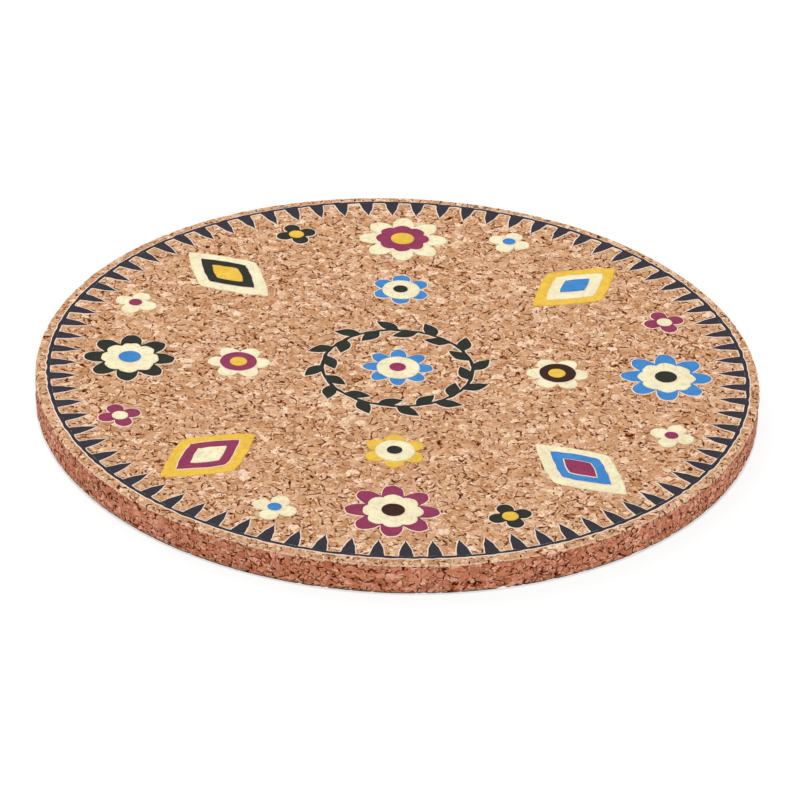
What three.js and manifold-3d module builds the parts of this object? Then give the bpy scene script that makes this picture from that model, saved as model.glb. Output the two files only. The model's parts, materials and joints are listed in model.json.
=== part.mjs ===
// A round cork coaster with a printed ornament.
// Lengths are in millimetres, +Z is up, and the origin is the middle of the flat underside.
// The disc is one piece of agglomerated cork. Each patch of ink is a thin solid of its own,
// laid on the cork or on the patch that was printed before it.

import * as THREE from 'three';
import { mergeVertices } from 'three/addons/utils/BufferGeometryUtils.js';
import Module from 'manifold-3d';

// Cork disc
const disc_diameter = 100;
const disc_thickness = 4.6;
const top_arris_radius = 0.75;
const bottom_arris_radius = 0.5;
const disc_segments = 96;
const arris_steps = 3;

// Thickness of one film of ink
const ink_film = 0.06;

// Border: a thin line with teeth that point to the middle of the disc
const rim_margin = 0.6;
const border_line_width = 0.8;
const tooth_depth = 3.8;
const tooth_base_width = 2.9;
const tooth_count = 80;
const line_steps_per_tooth = 2;

// Outer ring: large flowers and long lozenges in turn
const border_gap = 0.55;
const flower_radius = 6.4;
const flower_middle_radius = 4;
const flower_eye_radius = 1.7;
const flower_petals = 8;
const lozenge_half_length = 8.4;
const lozenge_half_width = 5.2;
const lozenge_band_inset = 1.6;
const lozenge_eye_inset = 3.2;
const outer_ring_pairs = 4;

// Small blossoms between the large motifs
const blossom_radius = 3.1;
const blossom_eye_radius = 1.1;
const blossom_petals = 4;
const blossom_count = 8;

// Inner ring: rosettes in line with the large flowers, half way between them and the wreath
const rosette_radius = 4.3;
const rosette_middle_radius = 2.7;
const rosette_eye_radius = 1.2;
const rosette_petals = 6;
const rosette_count = 4;

// Leaf wreath with a flower in the middle
const wreath_radius = 10.4;
const wreath_stem_width = 0.8;
const leaf_length = 4.2;
const leaf_half_width = 1.15;
const leaf_pairs = 12;
const leaf_lean_degrees = 36;
const centre_flower_radius = 5;
const centre_middle_radius = 3;
const centre_eye_radius = 1.3;
const centre_flower_petals = 8;

// Steps round one petal, along one side of a lozenge or leaf, and round a stem or a round film
const petal_steps = 6;
const scallop_steps = 4;
const lozenge_side_steps = 3;
const leaf_side_steps = 4;
const stem_steps_per_pair = 4;
const eye_steps = 12;
const middle_steps = 20;

// What the notch between two petals keeps of the outline's radius
const petal_notch_share = 0.62;
const blossom_notch_share = 0.5;
const scallop_notch_share = 0.86;

// Exponents of the outlines, given with each formula below
const petal_exponent = 0.75;
const lozenge_exponent = 0.75;
const leaf_exponent = 0.8;

// Places that follow from the sizes above
const disc_radius = disc_diameter / 2;
const border_outer_radius = disc_radius - top_arris_radius - rim_margin;
const border_line_inner_radius = border_outer_radius - border_line_width;
const tooth_tip_radius = border_line_inner_radius - tooth_depth;
const print_field_radius = tooth_tip_radius - border_gap;
const flower_ring_radius = print_field_radius - flower_radius;
const lozenge_ring_radius = print_field_radius - lozenge_half_length;
const blossom_ring_radius = print_field_radius - blossom_radius;
const leaf_lean = THREE.MathUtils.degToRad(leaf_lean_degrees);
const leaf_rise = leaf_length * Math.sin(leaf_lean);
const leaf_sweep = leaf_length * Math.cos(leaf_lean);
const wreath_outer_radius = Math.hypot(wreath_radius + leaf_rise, leaf_sweep);
const rosette_ring_radius = (flower_ring_radius - flower_radius + wreath_outer_radius) / 2;

// Finishes
const ink_roughness = 0.55;
const cork_roughness = 0.92;
const cork_colour = '#c7946c';
const ink_colours = {
  charcoal: '#35313a',
  black: '#2b2d26',
  blue: '#3c86cf',
  plum: '#9a3560',
  yellow: '#f2c12e',
  cream: '#f4e9c1',
  brown: '#3a2218',
};

// Inks of each motif, from the film on the cork to the film on top
const flower_inks = [
  ['blue', 'cream', 'black'],
  ['cream', 'plum', 'yellow'],
  ['black', 'cream', 'blue'],
  ['plum', 'cream', 'brown'],
];
const lozenge_inks = [
  ['yellow', 'cream', 'blue'],
  ['cream', 'black', 'yellow'],
  ['yellow', 'plum', 'cream'],
  ['cream', 'blue', 'plum'],
];
const rosette_inks = [
  ['cream', 'brown', 'yellow'],
  ['blue', 'cream', 'black'],
  ['cream', 'plum', 'yellow'],
  ['yellow', 'cream', 'black'],
];
const blossom_inks = [
  ['plum', 'cream'],
  ['cream', 'blue'],
  ['black', 'yellow'],
  ['cream', 'plum'],
];
const centre_inks = [
  ['blue', 'cream', 'plum'],
];

const full_turn = 2 * Math.PI;
const quarter_turn = Math.PI / 2;
const lozenge_sides = 4;

const wasm = await Module();
wasm.setup();

const coaster = new THREE.Group();
const print = new THREE.Group();
print.position.z = disc_thickness;
coaster.add(print);

function polarPoint(radius, angle) {
  return new THREE.Vector2(radius * Math.cos(angle), radius * Math.sin(angle));
}

// A closed outline, anticlockwise from +X, whose radius is a function of the angle
function polarShape(radiusAt, steps) {
  const points = [];
  for (let i = 0; i < steps; i++) {
    const angle = (full_turn * i) / steps;
    points.push(polarPoint(radiusAt(angle), angle));
  }
  return new THREE.Shape(points);
}

function roundShape(radius, steps) {
  return polarShape(() => radius, steps);
}

// Petals: r = radius * (notch + (1 - notch) * |cos(petals * angle / 2)| ^ petal_exponent)
function petalShape(radius, petals, notch_share, steps) {
  const radiusAt = (angle) => {
    const swell = Math.abs(Math.cos((petals * angle) / 2)) ** petal_exponent;
    return radius * (notch_share + (1 - notch_share) * swell);
  };
  return polarShape(radiusAt, petals * steps);
}

// Lozenge: x = half length * cos(u) * |cos(u)| ^ lozenge_exponent, and y the same with half width and sin.
// The inset is measured on the half width, and the half length shrinks in the same proportion.
function lozengeShape(inset) {
  const halfWidth = lozenge_half_width - inset;
  const halfLength = lozenge_half_length * (halfWidth / lozenge_half_width);
  const steps = lozenge_sides * lozenge_side_steps;
  const points = [];
  for (let i = 0; i < steps; i++) {
    const along = Math.cos((full_turn * i) / steps);
    const across = Math.sin((full_turn * i) / steps);
    points.push(new THREE.Vector2(
      halfLength * along * Math.abs(along) ** lozenge_exponent,
      halfWidth * across * Math.abs(across) ** lozenge_exponent,
    ));
  }
  return new THREE.Shape(points);
}

// A leaf from its root at the origin to its tip on +X.
// With t from 0 to 1 along it, half width = leaf_half_width * sin(pi * t ^ leaf_exponent).
function leafShape() {
  const lowerSide = [];
  const upperSide = [];
  for (let i = 0; i <= leaf_side_steps; i++) {
    const t = i / leaf_side_steps;
    const halfWidth = leaf_half_width * Math.sin(Math.PI * t ** leaf_exponent);
    lowerSide.push(new THREE.Vector2(leaf_length * t, -halfWidth));
    upperSide.unshift(new THREE.Vector2(leaf_length * t, halfWidth));
  }
  return new THREE.Shape([...lowerSide, ...upperSide.slice(1, -1)]);
}

// The border's outline is a circle. Its hole runs along the line and round each tooth to the tip.
function borderShape() {
  const shape = roundShape(border_outer_radius, tooth_count * line_steps_per_tooth);
  const pitch = full_turn / tooth_count;
  const halfBase = tooth_base_width / 2 / border_line_inner_radius;
  const hole = [];
  for (let i = 0; i < tooth_count; i++) {
    const middle = (i + 1 / 2) * pitch;
    hole.push(polarPoint(border_line_inner_radius, middle - halfBase));
    hole.push(polarPoint(tooth_tip_radius, middle));
    hole.push(polarPoint(border_line_inner_radius, middle + halfBase));
  }
  shape.holes.push(new THREE.Path(hole));
  return shape;
}

function filmGeometry(shape) {
  return new THREE.ExtrudeGeometry(shape, { depth: ink_film, bevelEnabled: false });
}

function solidFrom(geometry) {
  const bare = geometry.clone();
  bare.deleteAttribute('normal');
  bare.deleteAttribute('uv');
  const merged = mergeVertices(bare);
  return new wasm.Manifold(new wasm.Mesh({
    numProp: 3,
    vertProperties: new Float32Array(merged.attributes.position.array),
    triVerts: new Uint32Array(merged.index.array),
  }));
}

function geometryFrom(solid) {
  const mesh = solid.getMesh();
  const geometry = new THREE.BufferGeometry();
  geometry.setAttribute('position', new THREE.BufferAttribute(mesh.vertProperties, mesh.numProp));
  geometry.setIndex(new THREE.BufferAttribute(mesh.triVerts, 1));
  geometry.computeVertexNormals();
  return geometry;
}

function leafGeometry(rootAngle, heading) {
  const leaf = filmGeometry(leafShape());
  const root = polarPoint(wreath_radius, rootAngle);
  leaf.rotateZ(heading);
  leaf.translate(root.x, root.y, 0);
  return leaf;
}

// The stem is a ring. Leaves leave it on both sides in turn, all swept the same way round.
function wreathGeometry() {
  const stemSteps = leaf_pairs * stem_steps_per_pair;
  const pitch = full_turn / leaf_pairs;
  const stem = roundShape(wreath_radius + wreath_stem_width / 2, stemSteps);
  stem.holes.push(roundShape(wreath_radius - wreath_stem_width / 2, stemSteps));
  const solids = [solidFrom(filmGeometry(stem))];
  for (let i = 0; i < leaf_pairs; i++) {
    const outerRoot = i * pitch;
    const innerRoot = (i + 1 / 2) * pitch;
    solids.push(solidFrom(leafGeometry(outerRoot, outerRoot + quarter_turn - leaf_lean)));
    solids.push(solidFrom(leafGeometry(innerRoot, innerRoot + quarter_turn + leaf_lean)));
  }
  return geometryFrom(wasm.Manifold.union(solids));
}

// A quarter circle of the disc's half profile, anticlockwise from the given quarter of a turn
function arris(radius, height, firstQuarter) {
  const centre = new THREE.Vector2(disc_radius - radius, height);
  const points = [];
  for (let i = 0; i <= arris_steps; i++) {
    points.push(polarPoint(radius, quarter_turn * (firstQuarter + i / arris_steps)).add(centre));
  }
  return points;
}

// The half profile runs from the middle of the underside, round both arrises, to the middle of the top.
function discGeometry() {
  const profile = [
    new THREE.Vector2(0, 0),
    ...arris(bottom_arris_radius, bottom_arris_radius, -1),
    ...arris(top_arris_radius, disc_thickness - top_arris_radius, 0),
    new THREE.Vector2(0, disc_thickness),
  ];
  const disc = new THREE.LatheGeometry(profile, disc_segments);
  disc.rotateX(quarter_turn);
  return disc;
}

function addMesh(parent, name, geometry, colour, roughness) {
  const material = new THREE.MeshStandardMaterial({ color: colour, roughness, metalness: 0 });
  const mesh = new THREE.Mesh(geometry, material);
  mesh.name = name;
  parent.add(mesh);
  return mesh;
}

// A film of level 0 lies on the cork, a film of level 1 on a film of level 0, and so on.
function addFilm(parent, name, geometry, ink, level = 0) {
  const film = addMesh(parent, name, geometry, ink_colours[ink], ink_roughness);
  film.position.z = level * ink_film;
}

// Motifs of one kind in a ring. Each is turned to face the middle of the disc and has one film for
// each shape. The ring starts on +X, or half a pitch round from it.
function addMotifs(name, count, startsHalfWay, ringRadius, inkTable, shapes) {
  for (let i = 0; i < count; i++) {
    const angle = (full_turn * (startsHalfWay ? i + 1 / 2 : i)) / count;
    const inks = inkTable[i % inkTable.length];
    const motifName = count > 1 ? `${name}_${i + 1}` : name;
    const place = polarPoint(ringRadius, angle);
    const motif = new THREE.Group();
    motif.position.set(place.x, place.y, 0);
    motif.rotation.z = angle;
    print.add(motif);
    Object.entries(shapes).forEach(([layer, shape], level) => {
      addFilm(motif, `${motifName}_${layer}`, filmGeometry(shape), inks[level], level);
    });
  }
}

addMesh(coaster, 'cork_disc', discGeometry(), cork_colour, cork_roughness);

addFilm(print, 'border', filmGeometry(borderShape()), 'charcoal');

addMotifs('flower', outer_ring_pairs, false, flower_ring_radius, flower_inks, {
  petals: petalShape(flower_radius, flower_petals, petal_notch_share, petal_steps),
  middle: petalShape(flower_middle_radius, flower_petals, scallop_notch_share, scallop_steps),
  eye: roundShape(flower_eye_radius, eye_steps),
});

addMotifs('lozenge', outer_ring_pairs, true, lozenge_ring_radius, lozenge_inks, {
  field: lozengeShape(0),
  band: lozengeShape(lozenge_band_inset),
  eye: lozengeShape(lozenge_eye_inset),
});

addMotifs('blossom', blossom_count, true, blossom_ring_radius, blossom_inks, {
  petals: petalShape(blossom_radius, blossom_petals, blossom_notch_share, petal_steps),
  eye: roundShape(blossom_eye_radius, eye_steps),
});

addMotifs('rosette', rosette_count, false, rosette_ring_radius, rosette_inks, {
  petals: petalShape(rosette_radius, rosette_petals, petal_notch_share, petal_steps),
  middle: roundShape(rosette_middle_radius, middle_steps),
  eye: roundShape(rosette_eye_radius, eye_steps),
});

addFilm(print, 'wreath', wreathGeometry(), 'black');

addMotifs('centre_flower', 1, false, 0, centre_inks, {
  petals: petalShape(centre_flower_radius, centre_flower_petals, petal_notch_share, petal_steps),
  middle: roundShape(centre_middle_radius, middle_steps),
  eye: roundShape(centre_eye_radius, eye_steps),
});

export default coaster;
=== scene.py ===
"""A round cork coaster with a printed ornament, its stage and its camera.

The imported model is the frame. The disc of pressed cork gets its granules, open joints and pits, and
each patch of ink becomes a soft-edged film that follows the cork. Lengths are in metres.
"""

import json
import math
from functools import partial

import bpy
import numpy as np
from bpy.props import FloatProperty, FloatVectorProperty, IntProperty, PointerProperty
from mathutils import Matrix, Vector


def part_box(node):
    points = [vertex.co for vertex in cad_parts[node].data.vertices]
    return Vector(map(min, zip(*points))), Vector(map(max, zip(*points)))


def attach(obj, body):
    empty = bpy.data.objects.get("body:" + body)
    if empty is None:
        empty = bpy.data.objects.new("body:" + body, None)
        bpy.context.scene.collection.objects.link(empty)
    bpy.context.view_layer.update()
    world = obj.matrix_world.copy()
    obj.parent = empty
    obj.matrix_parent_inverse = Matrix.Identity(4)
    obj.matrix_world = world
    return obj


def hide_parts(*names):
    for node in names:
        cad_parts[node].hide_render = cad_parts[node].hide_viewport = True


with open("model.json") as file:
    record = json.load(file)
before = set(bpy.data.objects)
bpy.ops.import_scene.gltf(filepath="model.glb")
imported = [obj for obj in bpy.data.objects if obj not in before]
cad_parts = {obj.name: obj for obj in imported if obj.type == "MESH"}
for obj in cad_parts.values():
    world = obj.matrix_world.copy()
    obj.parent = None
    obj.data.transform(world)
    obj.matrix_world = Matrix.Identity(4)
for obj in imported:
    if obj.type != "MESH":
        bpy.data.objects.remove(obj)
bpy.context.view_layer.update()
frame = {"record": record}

bl_info = {
    "name": "Printed Cork Coaster",
    "version": (1, 0, 0),
    "blender": (4, 5, 0),
    "location": "3D View > Sidebar > Coaster",
    "description": "Builds a cork coaster with a printed ornament, its stage and its camera",
    "category": "Add Mesh",
}

MM = 0.001
TURN = 2 * math.pi
DISC_LOW, DISC_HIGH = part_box("cork_disc")
SLOT_OF = {part["node"]: part["material_slot"] for part in frame["record"]["subparts"]}


# Settings

def linear(hex_colour):
    """An sRGB hex colour as linear red, green and blue."""
    srgb = [int(hex_colour[i:i + 2], 16) / 255 for i in (1, 3, 5)]
    return tuple(c / 12.92 if c <= 0.04045 else ((c + 0.055) / 1.055) ** 2.4 for c in srgb)


def length(name, millimetres, description):
    return FloatProperty(
        name=name, description=description, default=millimetres * MM,
        min=0, precision=5, unit="LENGTH", subtype="DISTANCE",
    )


def share(name, default, description):
    return FloatProperty(
        name=name, description=description, default=default, min=0, max=1, subtype="FACTOR",
    )


def count(name, default, description):
    return IntProperty(name=name, description=description, default=default, min=1)


def angle(name, degrees, description):
    return FloatProperty(
        name=name, description=description, default=math.radians(degrees),
        unit="ROTATION", subtype="ANGLE",
    )


def power(name, watts, description):
    return FloatProperty(name=name, description=description, default=watts, min=0, unit="POWER")


def colour(name, hex_colour, description):
    return FloatVectorProperty(
        name=name, description=description, default=linear(hex_colour),
        min=0, max=1, size=3, subtype="COLOR",
    )


class CoasterDisc(bpy.types.PropertyGroup):
    """The disc of pressed cork."""

    diameter: length("Diameter", (DISC_HIGH.x - DISC_LOW.x) / MM, "Across the disc")
    thickness: length("Thickness", (DISC_HIGH.z - DISC_LOW.z) / MM, "Of the disc without ink")
    top_arris: length("Top arris", 0.5, "Radius of the worn edge round the top face")
    bottom_arris: length("Bottom arris", 0.5, "Radius of the edge round the underside")
    granule: length("Granule", 1.15, "Width of a cork granule")
    crumb: length("Crumb", 0.62, "Width of the crumbs between the whole granules")
    joint_depth: length("Joint depth", 0.07, "Depth of an open joint on a sanded face")
    pit_depth: length("Pit depth", 0.2, "Depth where a granule has come out of a sanded face")


class CoasterPrint(bpy.types.PropertyGroup):
    """What the inks have in common."""

    film: length("Film", 0.06, "Thickness of one film of ink")
    underbase: length("Underbase", 0.15, "Width of the pale coat that shows round a dark ink")
    wobble: length("Wobble", 0.04, "How far an edge of ink strays on the rough cork")
    register_error: length("Register error", 0.07, "How far one colour is printed from its place")
    rim_margin: length("Rim margin", 0.85, "Bare cork between the border and the worn edge")
    border_line: length("Border line", 0.8, "Width of the line round the border")
    tooth_depth: length("Tooth depth", 3.8, "Length of a tooth of the border")
    tooth_base: length("Tooth base", 2.9, "Width of a tooth at the line")
    tooth_count: count("Teeth", 80, "Teeth round the border")
    border_gap: length("Border gap", 0.55, "Between the teeth and the outer motifs")


class CoasterMotifs(bpy.types.PropertyGroup):
    """The printed motifs."""

    flower_radius: length("Flower", 6.4, "Radius of a large flower")
    flower_middle: length("Flower middle", 4, "Radius of its second film")
    flower_eye: length("Flower eye", 1.7, "Radius of its top film")
    lozenge_length: length("Lozenge length", 8.4, "Half the length of a lozenge")
    lozenge_width: length("Lozenge width", 5.2, "Half the width of a lozenge")
    band_inset: length("Band inset", 1.6, "From the lozenge's side to its band")
    eye_inset: length("Eye inset", 3.2, "From the lozenge's side to its eye")
    blossom_radius: length("Blossom", 3.1, "Radius of a small blossom")
    blossom_eye: length("Blossom eye", 1.1, "Radius of its top film")
    rosette_radius: length("Rosette", 4.3, "Radius of a rosette of the inner ring")
    rosette_middle: length("Rosette middle", 2.7, "Radius of its second film")
    rosette_eye: length("Rosette eye", 1.2, "Radius of its top film")
    wreath_radius: length("Wreath", 10.4, "Radius of the wreath's stem")
    stem_width: length("Stem", 0.8, "Width of the wreath's stem")
    leaf_length: length("Leaf length", 4.2, "Length of a leaf")
    leaf_half_width: length("Leaf half width", 1.15, "Half the width of a leaf")
    leaf_pairs: count("Leaf pairs", 12, "Pairs of leaves on the stem")
    leaf_lean: angle("Leaf lean", 36, "Between a leaf and the stem")
    centre_radius: length("Centre flower", 5, "Radius of the flower in the middle")
    centre_middle: length("Centre middle", 3, "Radius of its second film")
    centre_eye: length("Centre eye", 1.3, "Radius of its top film")
    petal_notch: share("Petal notch", 0.62, "Radius left at the notch between two petals")
    blossom_notch: share("Blossom notch", 0.5, "The same for a blossom")
    scallop_notch: share("Scallop notch", 0.86, "The same for a scalloped middle")


class CoasterColours(bpy.types.PropertyGroup):
    """Cork and inks."""

    # The crevice colour is partly the cork's own dark joint and partly painted shade in the gap; the
    # next colour is a band of painted shade beside it.
    crevice: colour("Crevice", "#602e0e", "What an open joint keeps of the granules' colour")
    crevice_edge: colour("Crevice edge", "#d6b499", "The same beside an open joint")
    cork_low: colour("Cork brown", "#bd8459", "The darkest granules")
    cork_mid: colour("Cork", "#cf9b72", "Most of the granules")
    cork_high: colour("Cork pale", "#e4b58f", "Pale granules")
    # Pale flakes; also the colour of the painted highlights on the lips and the arrises.
    cork_light: colour("Cork flake", "#ffdfc0", "Freshly sanded flakes")
    # The foot colour is a painted contact shadow: the edge is darkened towards where it meets the
    # floor.
    foot: colour("Foot", "#7d6c68", "What the soiled foot of the edge keeps of the cork's colour")
    sawn_tint: colour("Sawn tint", "#fad0cd", "What the cut edge keeps of the sanded face's colour")
    ink_charcoal: colour("Charcoal ink", "#35313a", "Border")
    ink_black: colour("Black ink", "#2b2d26", "Wreath and eyes")
    ink_blue: colour("Blue ink", "#4287c8", "Motifs")
    ink_plum: colour("Plum ink", "#93395a", "Motifs")
    ink_yellow: colour("Yellow ink", "#ecc04a", "Motifs")
    ink_cream: colour("Cream ink", "#f3e9c3", "Motifs")
    ink_brown: colour("Brown ink", "#3a2218", "Eyes")
    underbase: colour("Underbase", "#f6dfcb", "Pale coat under the dark inks")


class CoasterStage(bpy.types.PropertyGroup):
    """Floor, light and camera."""

    floor_width: length("Floor", 4000, "Width of the floor")
    camera_distance: length("Camera distance", 600, "From the lens to the middle of the top face")
    lens: FloatProperty(
        name="Lens", description="Focal length in millimetres", default=195.4,
        unit="CAMERA", min=1,
    )
    elevation: angle("Elevation", 30.345, "Of the camera above the horizon")
    roll: angle("Roll", -2.141, "Of the camera about its line of sight")
    pitch: angle("Pitch", -0.4234, "Of the line of sight above the middle of the top face")
    yaw: angle("Yaw", -0.0411, "Of the line of sight beside the middle of the top face")
    key_power: power("Key lamp", 5.5, "Power of the soft lamp overhead")
    left_power: power("Left lamp", 1.9, "Power of the soft lamp at the left")
    right_power: power("Right lamp", 2.5, "Power of the soft lamp at the right")
    sky: FloatProperty(
        name="Sky", description="Strength of the even light from all sides", default=0.58, min=0,
    )


# Meshes

def grid_faces(rows, columns, wraps_rows=False):
    """Quads between each row of points and the next. Rows run round a closed column count."""
    i = np.arange(rows if wraps_rows else rows - 1)[:, None]
    j = np.arange(columns)[None, :]
    here, after = i * columns, (i + 1) % rows * columns
    beside = (j + 1) % columns
    corners = [here + j, after + j, after + beside, here + beside]
    return np.stack(corners, -1).reshape(-1, 4)


def fan_faces(ring, pole):
    """Triangles from a closed ring of points to one point."""
    return np.stack([ring, np.full_like(ring, pole), np.roll(ring, -1)], -1)


def add_piece(name, points, quads, triangles, node, material, numbers=None, places=None):
    """A smooth mesh piece in the place of a CAD node. numbers are point attributes by name, and
    places gives each face corner, in the order of quads and then triangles, a place on its map."""
    old = bpy.data.objects.get(name)
    if old:
        bpy.data.objects.remove(old)
    mesh = bpy.data.meshes.new(name)
    corners = np.concatenate([quads.ravel(), triangles.ravel()]).astype(np.int32)
    sides = np.repeat([4, 3], [len(quads), len(triangles)])
    mesh.vertices.add(len(points))
    mesh.vertices.foreach_set("co", points.astype(np.float32).ravel())
    mesh.loops.add(len(corners))
    mesh.loops.foreach_set("vertex_index", corners)
    mesh.polygons.add(len(sides))
    mesh.polygons.foreach_set("loop_start", (np.cumsum(sides) - sides).astype(np.int32))
    for key, values in (numbers or {}).items():
        attribute = mesh.attributes.new(key, "FLOAT", "POINT")
        attribute.data.foreach_set("value", values.astype(np.float32))
    if places is not None:
        layer = mesh.uv_layers.new(name="OFBake")
        layer.uv.foreach_set("vector", places.astype(np.float32).ravel())
    mesh.update(calc_edges=True)
    if mesh.validate():
        raise RuntimeError(f"{name} has faces that Blender had to mend")
    mesh.shade_smooth()
    mesh.materials.append(material)
    piece = bpy.data.objects.new(name, mesh)
    bpy.context.scene.collection.objects.link(piece)
    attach(piece, "root")
    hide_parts(node)
    return piece


# Granules. Each cell of a grid holds one centre at a hashed place, and a point belongs to the
# nearest centre. The hash is the one of the Voronoi Texture node, so that the shape and the
# pattern of the cork show the same granules.

FLATTENING = 1.2        # how much wider than high pressing has left a granule
OPEN_JOINTS = 0.26      # share of the joints between granules that stand open on a sanded face
CRUMB_JOINTS = 0.13     # the same between crumbs
SAWN_JOINTS = 0.3       # the same on the sawn edge
LIPPED_JOINTS = 0.42    # share of the joints where the prouder granule has a pale lip
LIPPED_CRUMBS = 0.25    # the same for the prouder crumb
LOST_GRANULES = 0.03    # share of the granules at a sanded face that have come out
JOINT_REACH = 0.3       # how far an open joint reaches, as a share of the granule's width
PIT_REACH = 0.2         # how far a pit's wall reaches, the same way
SUNK = 0.02 * MM        # how low the lowest granule of a sanded face sits
SAWN_SUNK = 0.06 * MM   # what the sawn edge adds to that
SAWN_JOINT_DEPTH = 0.8  # what it adds to an open joint's depth, as a share of it
SAWN_CHIPPED = 0.05 * MM   # how low its tilted granules sit
SAWN_TILT = 0.14        # their slope each way, times a number from -0.5 to 0.5
MOST_DEPTH = 0.35 * MM  # of all of these together


def turned(word, bits):
    """A word of 32 bits turned left."""
    return (word << np.uint32(bits)) | (word >> np.uint32(32 - bits))


def hashed(*words):
    """A word of 32 bits from three or four: sums, differences and turns of the words, the first
    three of which are stirred first where there is a fourth."""
    start = np.uint32((0xDEADBEEF + (len(words) << 2) + 13) & 0xFFFFFFFF)
    a, b, c = (start + word for word in words[:3])
    if len(words) == 4:
        for bits in (4, 6, 8, 16, 19, 4):
            a = (a - c) ^ turned(c, bits)
            a, b, c = b, c + b, a
        a = a + words[3]
    mixed, last = [c, a, b], b
    for i, bits in enumerate((14, 11, 25, 16, 4, 14, 24)):
        last = mixed[i % 3] = (mixed[i % 3] ^ last) - turned(last, bits)
    return mixed[0]


def cell_numbers(cells):
    """Three numbers from 0 to 1 for each cell, from the bits of its three coordinates. Adding 0
    turns a negative zero, whose bits are others, into zero."""
    words = np.ascontiguousarray((cells + 0.0).astype(np.float32).T).view(np.uint32)
    extra = np.array([1, 2], np.float32).view(np.uint32)
    hashes = [hashed(*words), hashed(*words, extra[0]), hashed(*words, extra[1])]
    return np.stack(hashes, -1) / 0xFFFFFFFF


def nearest_granules(points, width):
    """For each point the nearest two centres, the numbers of their cells, and how far it is to
    the plane half way between them: (second distance squared - first squared) / (2 * distance
    between the centres). Pressing has made the granules flatter than wide."""
    at = points * (1, 1, FLATTENING) / width
    corner = np.floor(at)
    gaps = np.full((2, len(at)), np.inf)
    centres, numbers = np.zeros((2, len(at), 3)), np.zeros((2, len(at), 3))
    for step in np.ndindex(3, 3, 3):
        cell = corner + step - 1
        number = cell_numbers(cell)
        centre = cell + number
        gap = ((centre - at) ** 2).sum(1)
        first, second = gap < gaps[0], gap < gaps[1]
        for kept, value in ((gaps, gap), (centres, centre), (numbers, number)):
            kept[1][second] = value[second]
            kept[1][first], kept[0][first] = kept[0][first], value[first]
    between = np.linalg.norm(centres[1] - centres[0], axis=1)
    joint = (gaps[1] - gaps[0]) / (2 * between) * width
    return (at - centres[0]) * width, numbers, joint


def ramp(value, low, high):
    """0 up to low, 1 from high, and a smooth step between."""
    t = np.clip((value - low) / (high - low), 0, 1)
    return t * t * (3 - 2 * t)


def cork_depth(points, sawn, disc):
    """How far the cork lies below the plain disc, never above it. On the sanded faces each
    granule sits a little low, some joints are open and a few granules are gone. On the sawn edge
    (sawn = 1) more joints are open and deeper, and each granule's face is tilted its own way."""
    offset, (own, other), joint = nearest_granules(points, disc.granule)
    near_joint = 1 - ramp(joint, 0, JOINT_REACH * disc.granule)
    share_open = OPEN_JOINTS + sawn * (SAWN_JOINTS - OPEN_JOINTS)
    is_open = np.mod(own[:, 0] + other[:, 0], 1) < share_open
    sunk = own[:, 1] ** 2 * (SUNK + SAWN_SUNK * sawn)
    opened = near_joint * is_open * disc.joint_depth * (1 + SAWN_JOINT_DEPTH * sawn)
    is_lost = own[:, 2] < LOST_GRANULES
    lost = is_lost * ramp(joint, 0, PIT_REACH * disc.granule) * disc.pit_depth
    chipped = sawn * (SAWN_CHIPPED + SAWN_TILT * ((own - 0.5) * offset).sum(1))
    return np.clip(sunk + opened + lost + chipped, 0, MOST_DEPTH)


# Cork disc

TOP_CELLS = 248      # cells along one side of the square that becomes the top face
WALL_ROWS = 13       # rows of cells up the wall
TOP_ARRIS_ROWS = 5   # rows of cells round each arris
BOTTOM_ARRIS_ROWS = 4
MAP_TOP = (0.365, 0.635, 0.36)       # middle and radius of the top face on the map
MAP_BOTTOM = (0.822, 0.345, 0.172)   # the same for the underside
MAP_STRIPS = 3                       # strips of the map that hold the edge, one above another
MAP_STRIP_WIDTH, MAP_STRIP_PITCH = 0.98, 0.055
MAP_MARGIN, MAP_STRIP_GAP = 0.01, 0.004
SAWN_LEAN = (0.3, 0.95)   # outward lean of the surface from which, and at which, it is sawn


def disc_points(cells):
    """A square grid pressed into a unit circle: each square ring becomes a round one, and its
    points are evenly spaced along it."""
    side = np.linspace(-1, 1, cells + 1)
    a, b = np.meshgrid(side, side)
    flat = np.abs(a) > np.abs(b)
    radius = np.where(flat, a, b)
    ratio = np.divide(np.where(flat, b, a), radius, out=np.zeros_like(a), where=radius != 0)
    angle = np.where(flat, ratio * math.pi / 4, math.pi / 2 - ratio * math.pi / 4)
    return np.stack([radius * np.cos(angle), radius * np.sin(angle)], -1).reshape(-1, 2)


def disc_rim(cells):
    """The grid's rim points, anticlockwise from the one at -135 degrees."""
    n = cells + 1
    i = np.arange(cells)
    return np.concatenate([i, i * n + cells, cells * n + cells - i, (cells - i) * n])


def disc_quads(cells):
    """The grid's cells, anticlockwise seen from above."""
    n = cells + 1
    i, j = np.meshgrid(np.arange(cells), np.arange(cells), indexing="ij")
    here = i * n + j
    return np.stack([here, here + 1, here + n + 1, here + n], -1).reshape(-1, 4)


def edge_profile(disc):
    """Radius, height and outward slope down the edge: a quarter circle from the top face, the
    wall and a quarter circle to the underside. The first row is the top face's rim."""
    radius, height = disc.diameter / 2, disc.thickness
    down = np.linspace(0, math.pi / 2, TOP_ARRIS_ROWS + 1)
    under = np.linspace(math.pi / 2, math.pi, BOTTOM_ARRIS_ROWS + 1)
    wall = np.linspace(height - disc.top_arris, disc.bottom_arris, WALL_ROWS + 1)[1:-1]
    top, low = disc.top_arris, disc.bottom_arris
    r = [
        radius - top + top * np.sin(down), np.full(len(wall), radius),
        radius - low + low * np.sin(under),
    ]
    z = [height - top + top * np.cos(down), wall, low + low * np.cos(under)]
    slope = np.concatenate([down, np.full(len(wall), math.pi / 2), under])
    return np.concatenate(r), np.concatenate(z), slope


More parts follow.
